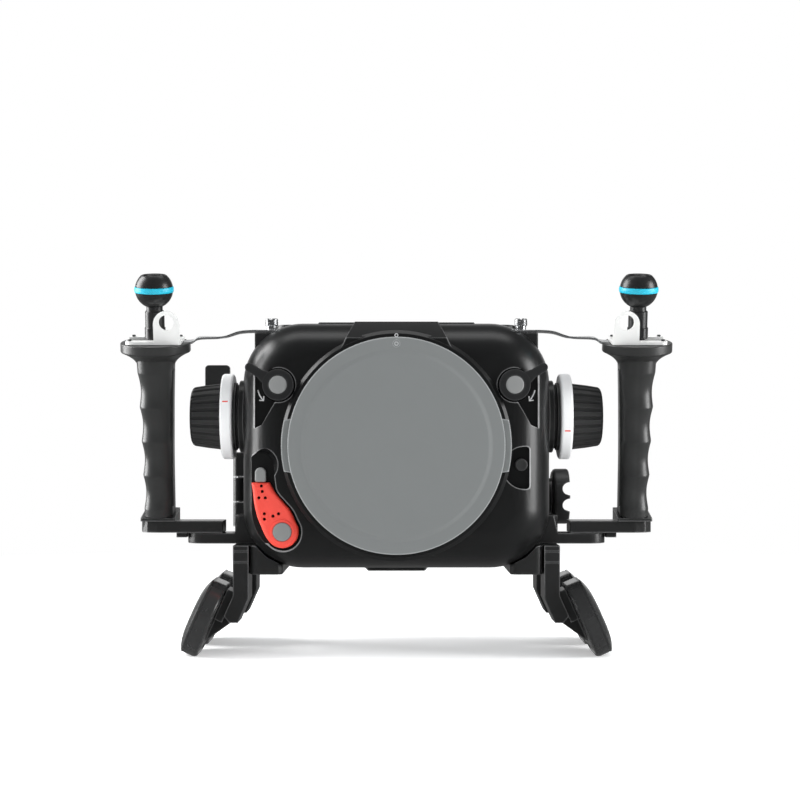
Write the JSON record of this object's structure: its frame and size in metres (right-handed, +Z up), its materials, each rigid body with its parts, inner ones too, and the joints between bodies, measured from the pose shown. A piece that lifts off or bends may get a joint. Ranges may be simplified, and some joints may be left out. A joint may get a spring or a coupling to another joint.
{
  "type": "underwater camera housing",
  "caption": "Dive housing for a camera: shell with capped lens port, hinged windowed rear door, side knobs, port locks, upright grips topped by ball mounts, and splayed padded feet.",
  "frame": {"origin": "middle of the whole object's footprint, on the ground the four foot pads stand on", "axes": "+X to the right as seen from the lens port's side, +Y from the port towards the rear door, +Z up"},
  "size_m": [0.3678, 0.1788, 0.2541],
  "materials": {
    "shell_black": "satin black anodised",
    "arm_black": "satin black anodised",
    "ball_black": "glossy black anodised",
    "inner_metal": "dark anodised",
    "lever_black": "fine blasted black",
    "cap_grey": "satin moulded",
    "disc_grey": "satin moulded",
    "lever_red": "satin",
    "ring_white": "satin moulded",
    "control_black": "satin moulded",
    "knob_rubber": "matte ribbed",
    "grip_rubber": "matte moulded",
    "pad_rubber": "matte moulded",
    "seal_black": "smooth",
    "seal_blue": "smooth",
    "bright_steel": "fine brushed",
    "window_clear": "polished"
  },
  "bodies": {
    "housing": {"front_shell": "shell_black", "base_plate": "shell_black", "port_ring": "inner_metal", "camera_tray": "inner_metal", "body_seal": "seal_blue", "hinge_pin": "bright_steel", "left_knob_base": "arm_black", "right_knob_base": "arm_black", "left_bulkhead_plug": "arm_black", "right_bulkhead_plug": "arm_black", "left_stay_post": "arm_black", "right_stay_post": "arm_black", "left_stay": "bright_steel", "right_stay": "bright_steel", "left_thumb_screw": "bright_steel", "right_thumb_screw": "bright_steel", "left_bracket_arm": "arm_black", "right_bracket_arm": "arm_black", "left_handle_arm": "arm_black", "right_handle_arm": "arm_black", "left_side_rail": "arm_black", "right_side_rail": "arm_black", "left_grip": "grip_rubber", "right_grip": "grip_rubber", "left_top_plate": "bright_steel", "right_top_plate": "bright_steel", "left_ball_mount": "ball_black", "right_ball_mount": "ball_black", "left_ball_ring": "seal_blue", "right_ball_ring": "seal_blue", "left_front_leg": "arm_black", "right_front_leg": "arm_black", "left_rear_leg": "arm_black", "right_rear_leg": "arm_black", "left_front_foot_pad": "pad_rubber", "right_front_foot_pad": "pad_rubber", "left_rear_foot_pad": "pad_rubber", "right_rear_foot_pad": "pad_rubber"},
    "cap": {"port_cap": "cap_grey", "cap_seal": "seal_black"},
    "left_lock": {"left_lock_lever": "lever_black", "left_lock_cap": "disc_grey"},
    "right_lock": {"right_lock_lever": "lever_black", "right_lock_cap": "disc_grey"},
    "record": {"record_lever": "lever_red", "record_cap": "disc_grey", "record_tip": "disc_grey"},
    "lens_release": {"lens_release_button": "control_black"},
    "left_knob": {"left_knob_ring": "ring_white", "left_knob_grip": "knob_rubber"},
    "right_knob": {"right_knob_ring": "ring_white", "right_knob_grip": "knob_rubber"},
    "latch": {"latch_knob": "control_black"},
    "paddle": {"thumb_paddle": "control_black"},
    "door": {"rear_door": "shell_black", "rear_window": "window_clear"},
    "button_1": {"rear_button_1": "control_black"},
    "button_2": {"rear_button_2": "control_black"},
    "button_3": {"rear_button_3": "control_black"},
    "dial": {"rear_dial": "control_black"}
  },
  "joints": [
    {"name": "port_cap_pull", "type": "slide", "parent": "housing", "child": "cap", "axis": [0, -1, 0], "range_m": [0, 0.032]},
    {"name": "left_lock_turn", "type": "hinge", "parent": "housing", "child": "left_lock", "pos_m": [-0.0768, -0.07765, 0.17888], "axis": [0, -1, 0], "range_deg": [0, 85]},
    {"name": "right_lock_turn", "type": "hinge", "parent": "housing", "child": "right_lock", "pos_m": [0.0768, -0.07765, 0.17888], "axis": [0, 1, 0], "range_deg": [0, 85]},
    {"name": "record_lever_swing", "type": "hinge", "parent": "housing", "child": "record", "pos_m": [-0.0743, -0.0697, 0.08328], "axis": [0, -1, 0], "range_deg": [0, 10], "stiffness_Nm_per_rad": 0.8, "springref_deg": -8.59},
    {"name": "lens_release_push", "type": "slide", "parent": "housing", "child": "lens_release", "axis": [0, 1, 0], "range_m": [0, 0.0027], "stiffness_N_per_m": 400, "springref_m": -0.001},
    {"name": "left_knob_spin", "type": "hinge", "parent": "housing", "child": "left_knob", "pos_m": [-0.12, -0.01765, 0.15908], "axis": [1, 0, 0], "continuous": true},
    {"name": "right_knob_spin", "type": "hinge", "parent": "housing", "child": "right_knob", "pos_m": [0.12, -0.01765, 0.15908], "axis": [1, 0, 0], "continuous": true},
    {"name": "latch_turn", "type": "hinge", "parent": "housing", "child": "latch", "pos_m": [0.115, 0.03835, 0.10308], "axis": [1, 0, 0], "range_deg": [0, 90]},
    {"name": "thumb_paddle_swing", "type": "hinge", "parent": "housing", "child": "paddle", "pos_m": [-0.12, 0.02535, 0.15138], "axis": [-1, 0, 0], "range_deg": [0, 12], "stiffness_Nm_per_rad": 0.8, "springref_deg": -8.59},
    {"name": "door_swing", "type": "hinge", "parent": "housing", "child": "door", "pos_m": [-0.113, 0.05235, 0.0987], "axis": [0, 0, 1], "range_deg": [0, 105]},
    {"name": "rear_button_1_push", "type": "slide", "parent": "door", "child": "button_1", "axis": [0, -1, 0], "range_m": [0, 0.003], "stiffness_N_per_m": 400, "springref_m": -0.001},
    {"name": "rear_button_2_push", "type": "slide", "parent": "door", "child": "button_2", "axis": [0, -1, 0], "range_m": [0, 0.003], "stiffness_N_per_m": 400, "springref_m": -0.001},
    {"name": "rear_button_3_push", "type": "slide", "parent": "door", "child": "button_3", "axis": [0, -1, 0], "range_m": [0, 0.003], "stiffness_N_per_m": 400, "springref_m": -0.001},
    {"name": "rear_dial_spin", "type": "hinge", "parent": "door", "child": "dial", "pos_m": [-0.074, 0.08465, 0.13338], "axis": [0, 1, 0], "continuous": true}
  ]
}
